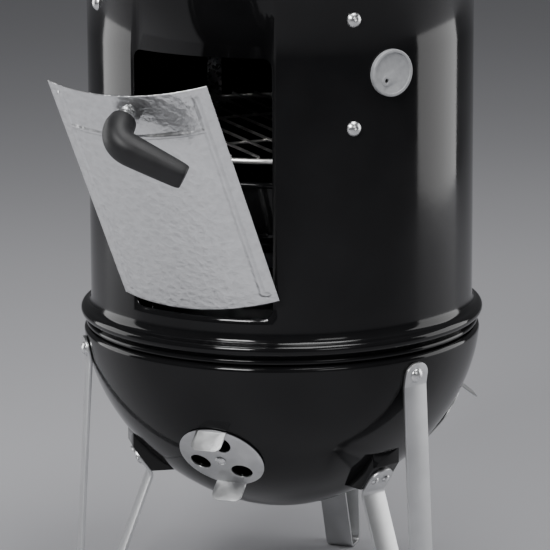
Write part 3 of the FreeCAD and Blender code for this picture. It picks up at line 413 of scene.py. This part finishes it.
for node, thing in frame["nodes"].items():
    thing.data.materials.clear()
    thing.data.materials.append(FINISHES[SLOTS[node]])

# ---------------------------------------------------------------- turned sheet

DRUM_RADIUS = 188.0
WALL = 1.0
JOINT_Z = 290.0
DRUM_TOP = 657.0
SPIN_STEPS = 256
STEP_ANGLE = math.tau / SPIN_STEPS
SPIN_MERGE_MM = 0.0005


def around(radius, angle, height):
    """A point at an angle in radians from the door."""
    return Vector((radius * math.sin(angle), -radius * math.cos(angle), height))


def rounded(corners, steps=8):
    """A profile through (radius, height, rounding) corners, with each rounded corner as an arc."""
    points = []
    for index, (across, height, rounding) in enumerate(corners):
        here = Vector((across, height))
        if not rounding:
            points.append(here)
            continue
        before = (Vector(corners[index - 1][:2]) - here).normalized()
        after = (Vector(corners[(index + 1) % len(corners)][:2]) - here).normalized()
        half = before.angle(after) / 2
        centre = here + (before + after).normalized() * (rounding / math.sin(half))
        start = here + before * (rounding / math.tan(half)) - centre
        end = here + after * (rounding / math.tan(half)) - centre
        for k in range(steps + 1):
            swing, share = start.angle(end), k / steps
            mixed = (start * math.sin((1 - share) * swing) + end * math.sin(share * swing)) / math.sin(swing)
            points.append(centre + mixed)
    return points


def bead(middle, level, size, turns):
    """A round bead's outline about a middle point; turns are in degrees up from straight out."""
    return [Vector((middle + size * math.cos(turn), level + size * math.sin(turn)))
            for turn in map(math.radians, turns)]


def dome(radius, rise, power, level, side, low_turn, high_turn, steps=40):
    """Points of a superellipse from one turn to another; side is 1 for a dome and -1 for a bowl."""
    share = 2.0 / power
    points = []
    for k in range(steps + 1):
        turn = math.radians(low_turn + (high_turn - low_turn) * k / steps)
        points.append(Vector((radius * max(math.cos(turn), 0.0) ** share,
                              level + side * rise * max(math.sin(turn), 0.0) ** share)))
    return points


def turn_at(rise, power, drop):
    """The turn of a superellipse at a height from its rim."""
    return math.degrees(math.asin((drop / rise) ** (power / 2.0)))


def turned(profile):
    """A surface of revolution about the smoker's axis; an end on the axis closes as a pole."""
    bm = bmesh.new()
    line = [bm.verts.new((0, -across, height)) for across, height in profile]
    edges = [bm.edges.new(pair) for pair in zip(line, line[1:])]
    bmesh.ops.spin(bm, geom=line + edges, cent=(0, 0, 0), axis=(0, 0, 1), dvec=(0, 0, 0), angle=math.tau,
                   steps=SPIN_STEPS, use_merge=True, use_normal_flip=False, use_duplicate=False)
    bmesh.ops.remove_doubles(bm, verts=bm.verts, dist=SPIN_MERGE_MM)
    bmesh.ops.recalc_face_normals(bm, faces=bm.faces)
    return bm


DRILL_SIDES = 48
DRILL_LONG = 40.0
VENT_COUNT = 3
VENT_TURN = 13.0


def drilled(bm, drills):
    """The solid with a straight hole through it for each (middle, axis, radius)."""
    cutter = bmesh.new()
    for middle, axis, radius in drills:
        place = Matrix.Translation(middle) @ axis.to_track_quat("Z", "Y").to_matrix().to_4x4()
        bmesh.ops.create_cone(cutter, cap_ends=True, segments=DRILL_SIDES, radius1=radius, radius2=radius,
                              depth=DRILL_LONG, matrix=place)
    target, tool = mesh_thing("target", bm), mesh_thing("tool", cutter)
    cut = target.modifiers.new("cut", "BOOLEAN")
    cut.object = tool
    cut.operation = "DIFFERENCE"
    cut.solver = "EXACT"
    bpy.context.view_layer.update()
    result = target.evaluated_get(bpy.context.evaluated_depsgraph_get())
    made = bmesh.new()
    made.from_mesh(result.data)
    for thing in (target, tool):
        bpy.data.objects.remove(thing)
    bmesh.ops.remove_doubles(made, verts=made.verts, dist=MERGE_MM)
    bmesh.ops.recalc_face_normals(made, faces=made.faces)
    return made


def vent_drills(joint, ring, radius):
    """The vents round a damper's axis, under the damper's own holes."""
    base, axis = joint_place(joint)
    level = UP.cross(axis).normalized()
    upright = axis.cross(level)
    drills = []
    for index in range(VENT_COUNT):
        clock = math.radians(90 - VENT_TURN - 360 / VENT_COUNT * index)
        drills.append((base + (level * math.cos(clock) + upright * math.sin(clock)) * ring, axis, radius))
    return drills


# The skirt's corners are (out from the wall, above the joint, rounding), from its lower edge up.
SKIRT = ((3.4, 0.0, 0), (5.5, 1.4, 2.0), (5.0, 4.6, 1.4), (1.2, 5.6, 1.0), (2.2, 8.5, 0.8))
JOINT_BEAD = {"out": 4.8, "up": 14.2, "size": 5.4, "turns": range(-78, 79, 12)}
# From the bead back to the plain wall: (out from the wall, above the joint).
FLARE = ((4.4, 19.9), (2.2, 21.4), (0.8, 24.0), (0.15, 27.5), (0.0, 31.0), (0.0, 38.0))
LID_BEAD = {"out": 0.5, "down": 13.0, "size": 4.4, "turns": range(-72, 73, 18)}
LID_BEAD_HALF = 6.5
OPENING_LOW = 334.4
OPENING_TALL = 248.5
OPENING_COLUMNS = 16
ROWS = 54
ROW_TALL = OPENING_TALL / ROWS
CORNER_CELLS = 2


def corner_spot(degrees):
    """Where the arc of an opening's corner passes, in cells across and along from the corner."""
    turn = math.radians(degrees)
    return CORNER_CELLS * (1 - math.sin(turn)), CORNER_CELLS * (1 - math.cos(turn))


CORNER_MOVES = {(1, 0): corner_spot(22.5), (0, 0): corner_spot(45), (0, 1): corner_spot(67.5)}


def round_corner(bm, side, level, up):
    """Slide the three grid points nearest to a corner of the opening onto its arc."""
    def place(across, along):
        angle = side * (OPENING_COLUMNS - across) * STEP_ANGLE
        return around(DRUM_RADIUS, angle, level + up * along * ROW_TALL)

    found = {cell: min(bm.verts, key=lambda vert: (vert.co - place(*cell)).length_squared)
             for cell in CORNER_MOVES}
    for cell, vert in found.items():
        vert.co = place(*CORNER_MOVES[cell])


def drum_profile():
    """The drum's outer line from the skirt's edge to the top."""
    radius = DRUM_RADIUS
    skirt = rounded([(radius + out, JOINT_Z + up, rounding) for out, up, rounding in SKIRT], 4)
    joint_bead = bead(radius + JOINT_BEAD["out"], JOINT_Z + JOINT_BEAD["up"], JOINT_BEAD["size"],
                      JOINT_BEAD["turns"])
    flare = [Vector((radius + out, JOINT_Z + up)) for out, up in FLARE]
    rows = [Vector((radius, OPENING_LOW + row * ROW_TALL)) for row in range(ROWS + 1)]
    bead_middle = DRUM_TOP - LID_BEAD["down"]
    lid_bead = bead(radius + LID_BEAD["out"], bead_middle, LID_BEAD["size"], LID_BEAD["turns"])
    under = [Vector((radius, bead_middle - LID_BEAD_HALF))]
    over = [Vector((radius, bead_middle + LID_BEAD_HALF)), Vector((radius, DRUM_TOP))]
    return skirt + joint_bead + flare + rows + under + lid_bead + over


def drum():
    """The centre section: pressed beads, a door opening with rounded corners, then wall thickness."""
    bm = turned(drum_profile())
    if sum(face.normal.dot(face.calc_center_median() * Vector((1, 1, 0))) for face in bm.faces) < 0:
        bmesh.ops.reverse_faces(bm, faces=bm.faces)
    half = OPENING_COLUMNS * STEP_ANGLE
    opening_high = OPENING_LOW + OPENING_TALL
    gone = []
    for face in bm.faces:
        middle = face.calc_center_median()
        if abs(math.atan2(middle.x, -middle.y)) < half and OPENING_LOW < middle.z < opening_high:
            gone.append(face)
    bmesh.ops.delete(bm, geom=gone, context="FACES")
    for level, up in ((OPENING_LOW, 1), (opening_high, -1)):
        for side in (-1, 1):
            round_corner(bm, side, level, up)
    walled(piece(bm, "centre_section_look", "centre_section", SHEET_SHARP))


def bowl():
    """The charcoal bowl: a deep round shell, a rolled rim and a neck that stands inside the drum."""
    radius, deep, power = 195.5, 188.0, 1.8
    shoulder, seat = JOINT_Z - 7.0, JOINT_Z - 1.5
    neck, neck_top = 186.0, JOINT_Z + 11.5
    outer = dome(radius, deep, power, JOINT_Z, -1, 90, turn_at(deep, power, JOINT_Z - shoulder))
    edge = outer[-1].x
    rim = rounded([(edge, shoulder, 0), (edge, seat, 4.6), (neck + 2, seat, 1.6), (neck, neck_top, 0),
                   (neck - WALL, neck_top, 0), (neck - WALL, shoulder, 0)])[1:]
    inner = dome(radius - WALL, deep - WALL, power, JOINT_Z, -1,
                 turn_at(deep - WALL, power, JOINT_Z - shoulder), 90)
    drills = []
    for side in ("front", "right", "left"):
        drills += vent_drills("bowl_damper_%s_turn" % side, 24.0, 10.0)
    piece(drilled(turned(outer + rim + inner), drills), "charcoal_bowl_look", "charcoal_bowl", SHEET_SHARP)


def lid():
    """The lid: a flat dome, a straight skirt and a rolled lip."""
    outside, rise, power, low = 189.8, 84.0, 2.3, 649.0
    skirt_tall, lip_tall, lip_round = 22.0, 6.0, 2.4
    outer = dome(outside, rise, power, low + skirt_tall, 1, 90, 0)
    lip = [Vector((outside, low + lip_tall))]
    lip += bead(outside + 0.6, low + lip_round, lip_round, range(90, -91, -20))
    inner = [Vector((outside - WALL, low + 0.3))]
    inner += dome(outside - WALL, rise - WALL, power, low + skirt_tall, 1, 0, 90)
    drills = vent_drills("lid_damper_turn", 20.0, 8.0)
    piece(drilled(turned(outer + lip + inner), drills), "lid_shell_look", "lid_shell", SHEET_SHARP)


def pan():
    """The water pan: a flat foot, a wide round corner, a flared wall and a rolled rim."""
    radius, foot, top, low = 168.0, 150.0, 462.0, 384.0
    corner, rim_round, steps = 38.0, 3.0, 16
    outer = rounded([(0, low, 0), (foot, low, corner), (radius - 0.4, top - 5.6, 0)], steps)
    rim = bead(radius + 2.0, top - rim_round, rim_round, range(-150, 151, 20))
    inner = rounded([(radius - WALL, top - rim_round, 0), (foot - WALL, low + WALL, corner - WALL),
                     (0, low + WALL, 0)], steps)
    piece(turned(outer + rim + inner), "water_pan_look", "water_pan", SHEET_SHARP)


drum()
bowl()
lid()
pan()

# ---------------------------------------------------------------- door

PANEL_OUT = DRUM_RADIUS + 1.5
PANEL_HALF = math.radians(25.5)
PANEL_LOW = 328.2
PANEL_TALL = 261.0
PANEL_COLUMNS = 176
PANEL_ROWS = 240
RIB = 2.6
RIB_REACH = RIB * 1.25
RIB_INSET = 13.0
RIB_HIGH = 1.8
RIB_LEVEL = PANEL_LOW + PANEL_TALL - 48.0
SPINDLE_Z = PANEL_LOW + PANEL_TALL - 24.0


def opened():
    """From the closed door to the door as it hangs at rest."""
    base, axis = joint_place("door_lean")
    swing = Matrix.Rotation(math.radians(-joint_named("door_lean")["range_deg"][0]), 4, axis)
    return Matrix.Translation(base) @ swing @ Matrix.Translation(-base)


def swung():
    """From the lever pointing down on the closed door to the lever at rest."""
    spindle = Vector((0, 0, SPINDLE_Z))
    angle = math.radians(-joint_named("door_handle_turn")["range_deg"][0])
    swing = Matrix.Rotation(angle, 4, Vector((0, -1, 0)))
    return opened() @ Matrix.Translation(spindle) @ swing @ Matrix.Translation(-spindle)


def rib_lines():
    """The pressed ribs as straight runs over the sheet, in arc length and height."""
    edge = PANEL_OUT * PANEL_HALF - RIB_INSET
    foot, head = PANEL_LOW + RIB * 5, PANEL_LOW + PANEL_TALL - RIB * 4
    uprights = [((side * edge, foot), (side * edge, head)) for side in (-1, 1)]
    cross_rib = ((-edge, RIB_LEVEL), (edge, RIB_LEVEL))
    tail = ((edge, foot), (edge + 4.5, foot - 1.5))
    return [(Vector(start), Vector(end)) for start, end in uprights + [cross_rib, tail]]


def off_line(spot, start, end):
    """Distance from a spot to a straight run."""
    run = end - start
    share = max(0.0, min(1.0, (spot - start).dot(run) / run.length_squared))
    return (spot - start - run * share).length


def rib_relief(across, height, lines):
    """How far the sheet stands out, from the distance to the nearest rib's middle line."""
    spot = Vector((across, height))
    share = min(off_line(spot, start, end) for start, end in lines) / RIB_REACH
    return RIB_HIGH * (1.0 - share ** 2) ** 1.2 if share < 1.0 else 0.0


def door():
    """The curved door panel with its pressed ribs, then wall thickness."""
    half = PANEL_OUT * PANEL_HALF
    lines = rib_lines()
    bm = bmesh.new()
    bmesh.ops.create_grid(bm, x_segments=PANEL_COLUMNS, y_segments=PANEL_ROWS, size=1.0)
    for vert in bm.verts:
        across, height = vert.co.x * half, PANEL_LOW + PANEL_TALL * (vert.co.y + 1) / 2
        vert.co = around(PANEL_OUT + rib_relief(across, height, lines), across / PANEL_OUT, height)
    bmesh.ops.transform(bm, matrix=opened(), verts=bm.verts)
    bm.normal_update()
    outward = opened().to_3x3() @ Vector((0, -1, 0))
    if sum(face.normal.dot(outward) for face in bm.faces) < 0:
        bmesh.ops.reverse_faces(bm, faces=bm.faces)
    walled(piece(bm, "door_panel_look", "door_panel", SHEET_SHARP))


LEVER = 12.0
LEVER_LONG = 74.0
LEVER_SIDES = 28
LEVER_SHARP = 60
LEVER_FULL = 2.0 * LEVER + 5.0
LEVER_BEND = LEVER + 5.0
LEVER_START = PANEL_OUT + 5.4
LEVER_OUT = PANEL_OUT + 34.0
# Rings of the collar: (out from its start, share of the full width).
COLLAR = ((0.0, 0.84), (1.0, 0.9), (4.5, 0.93), (8.5, 0.97), (11.0, 1.0))
ELBOW_DEGREES = (18, 36, 54, 72, 90)
# Rings of the grip: (share of its length, narrowing of its soft end).
GRIP = ((0.18, 1.0), (0.42, 1.0), (0.66, 1.0), (0.88, 1.0), (0.965, 0.97), (0.995, 0.88))


def lever_rings():
    """The lever's rings from its collar to its end: (middle, upright, width, depth, squareness)."""
    full, bend = LEVER_FULL, LEVER_BEND
    rings = []
    for out, share in COLLAR:
        centre = Vector((0, -(LEVER_START + out), SPINDLE_Z))
        rings.append((centre, UP, full * share, full * share, 2.0))
    for degrees in ELBOW_DEGREES:
        sine, cosine = math.sin(math.radians(degrees)), math.cos(math.radians(degrees))
        bent = degrees / 90
        centre = Vector((0, bend - LEVER_OUT - bend * sine, SPINDLE_Z - bend + bend * cosine))
        rings.append((centre, Vector((0, -sine, cosine)), full, full - 1.5 * bent, 2.0 + 0.5 * bent))
    for share, soft in GRIP:
        centre = Vector((0, share - LEVER_OUT, SPINDLE_Z - bend - (LEVER_LONG - bend) * share))
        wide = (full - (full - 2.0 * LEVER) * share) * soft
        deep = (full - 1.5 - (full - 1.5 - 1.5 * LEVER) * share) * soft
        rings.append((centre, Vector((0, -1, 0)), wide, deep, 2.5 + 0.7 * share))
    return rings


def lever_offset(k, wide, deep, power):
    """The k-th point of a soft rounded rectangle, from its middle."""
    angle = math.tau * k / LEVER_SIDES
    cosine, sine = math.cos(angle), math.sin(angle)
    return (wide / 2 * math.copysign(abs(cosine) ** (2 / power), cosine),
            deep / 2 * math.copysign(abs(sine) ** (2 / power), sine))


def lever():
    """The elbow lever, extruded ring by ring along its middle line, closed softly, then subdivided."""
    rings = lever_rings()
    bm = bmesh.new()
    line = bmesh.ops.create_circle(bm, segments=LEVER_SIDES, radius=1.0)["verts"]
    line.sort(key=lambda vert: math.atan2(vert.co.y, vert.co.x) % math.tau)
    edges = bm.edges[:]
    ends = []
    for index, (centre, upright, wide, deep, power) in enumerate(rings):
        if index:
            grown = bmesh.ops.extrude_edge_only(bm, edges=edges)["geom"]
            fresh = [part for part in grown if isinstance(part, bmesh.types.BMVert)]
            edges = [part for part in grown if isinstance(part, bmesh.types.BMEdge)]
            line = [min(fresh, key=lambda vert: (vert.co - old.co).length_squared) for old in line]
            edges = [edge for edge in edges if all(vert in line for vert in edge.verts)]
        for k, vert in enumerate(line):
            x, y = lever_offset(k, wide, deep, power)
            vert.co = centre + Vector((x, 0, 0)) + upright * y
        if index in (0, len(rings) - 1):
            ends.append(list(edges))
    for rim in ends:
        cap = bmesh.ops.contextual_create(bm, geom=rim)["faces"]
        bmesh.ops.inset_region(bm, faces=cap, thickness=1.2, depth=0.0, use_even_offset=True)
    bmesh.ops.transform(bm, matrix=swung(), verts=bm.verts)
    bmesh.ops.recalc_face_normals(bm, faces=bm.faces)
    thing = piece(bm, "door_handle_look", "door_handle", LEVER_SHARP)
    smooth = thing.modifiers.new("smooth", "SUBSURF")
    smooth.levels = smooth.render_levels = 2


door()
lever()

# ---------------------------------------------------------------- smaller pieces from the CAD nodes

# Each node with the millimetres taken off its edges.
SMALL = {"probe_grommet": 0.5, "door_ferrule": 0.5, "door_latch": 0.2, "door_hook_left": 0.2,
         "door_hook_right": 0.2, "lid_grip": 1.2, "lid_grip_shield": 0.3, "thermometer_case": 0.4,
         "thermometer_nut": 0.3, "lid_damper": 0.25, "hanger_bolts": 0.3, "hanger_nuts": 0.3,
         "leg_upper_bolts": 0.3, "leg_upper_nuts": 0.3, "leg_lower_screws": 0.25}
for side in ("left", "right", "rear"):
    SMALL["leg_" + side] = 0.5
    SMALL["leg_bracket_" + side] = 0.4
for side in ("front", "right", "left"):
    SMALL["bowl_damper_" + side] = 0.3
for corner in ("front_left", "front_right", "back_left", "back_right"):
    SMALL["grill_hanger_" + corner] = 0.3
for node, round_off in SMALL.items():
    refined(node, round_off)

# ---------------------------------------------------------------- studio and camera

FLOOR_HALF = 9.0
FLOOR_COLOR = (0.42, 0.42, 0.44)
FLOOR_SHADE = 0.96
WORLD_COLOR = (0.35, 0.355, 0.37)
WORLD_STRENGTH = 0.3
CAMERA_AZIMUTH = math.radians(25.0)
CAMERA_AWAY = 3.8402
CAMERA_HIGH = 1.2297
CAMERA_PITCH = math.radians(13.14)
CAMERA_YAW = math.radians(-0.097)
CAMERA_ROLL = math.radians(-0.29)
CAMERA_LENS = 261.4
SENSOR_WIDE = 36
CLIP_END = 60
NEAR = Vector((math.sin(CAMERA_AZIMUTH), -math.cos(CAMERA_AZIMUTH), 0))
RIGHT = Vector((-NEAR.y, NEAR.x, 0))
AIM = Vector((0, 0, 0.42))
# Each light with its place, its target, its width, its height and its power.
SOFTBOXES = (("left_box", NEAR * -0.68 - RIGHT * 1.88 + UP * 0.7, AIM, 1.2, 1.7, 22),
             ("right_box", NEAR * -0.52 + RIGHT * 1.93 + UP * 0.75, AIM, 1.5, 1.6, 24),
             ("top_box", NEAR * 0.4 + RIGHT * 0.5 + UP * 2.7, AIM, 1.2, 0.9, 40),
             ("door_key", Vector((-0.15, -1.9, 1.75)), Vector((0.0, -0.15, 0.48)), 0.7, 0.6, 46),
             ("front_fill", NEAR * 2.6 + RIGHT * 1.5 + UP * 1.9, AIM, 0.9, 0.9, 12))


def floor_paint():
    graph = Graph("floor", FLOOR_COLOR, 0.6)
    cloud = graph.noise(graph.place(), 900.0, 2.0)
    graph.tinted(cloud, FLOOR_COLOR, tuple(FLOOR_SHADE * part for part in FLOOR_COLOR))
    return graph.material


def floor():
    bm = bmesh.new()
    bmesh.ops.create_grid(bm, x_segments=1, y_segments=1, size=FLOOR_HALF)
    thing = mesh_thing("floor", bm)
    thing.data.materials.append(floor_paint())


def softbox(name, place, target, width, tall, power):
    light = bpy.data.lights.new(name, "AREA")
    light.shape = "RECTANGLE"
    light.size = width
    light.size_y = tall
    light.energy = power
    thing = linked(name, light)
    thing.location = place
    thing.rotation_euler = (target - place).to_track_quat("-Z", "Y").to_euler()


def camera():
    level = -NEAR * math.cos(CAMERA_YAW) + RIGHT * math.sin(CAMERA_YAW)
    look = level * math.cos(CAMERA_PITCH) - UP * math.sin(CAMERA_PITCH)
    lens = bpy.data.cameras.new("camera")
    lens.sensor_width = SENSOR_WIDE
    lens.lens = CAMERA_LENS
    lens.clip_end = CLIP_END
    thing = linked("camera", lens)
    thing.location = NEAR * CAMERA_AWAY + UP * CAMERA_HIGH
    roll = Matrix.Rotation(CAMERA_ROLL, 3, "Z")
    thing.rotation_euler = (look.to_track_quat("-Z", "Y").to_matrix() @ roll).to_euler()
    bpy.context.scene.camera = thing


def world():
    made = bpy.data.worlds.new("studio")
    bpy.context.scene.world = made
    made.use_nodes = True
    background = made.node_tree.nodes["Background"]
    background.inputs["Color"].default_value = (*WORLD_COLOR, 1)
    background.inputs["Strength"].default_value = WORLD_STRENGTH


floor()
camera()
for box in SOFTBOXES:
    softbox(*box)
world()
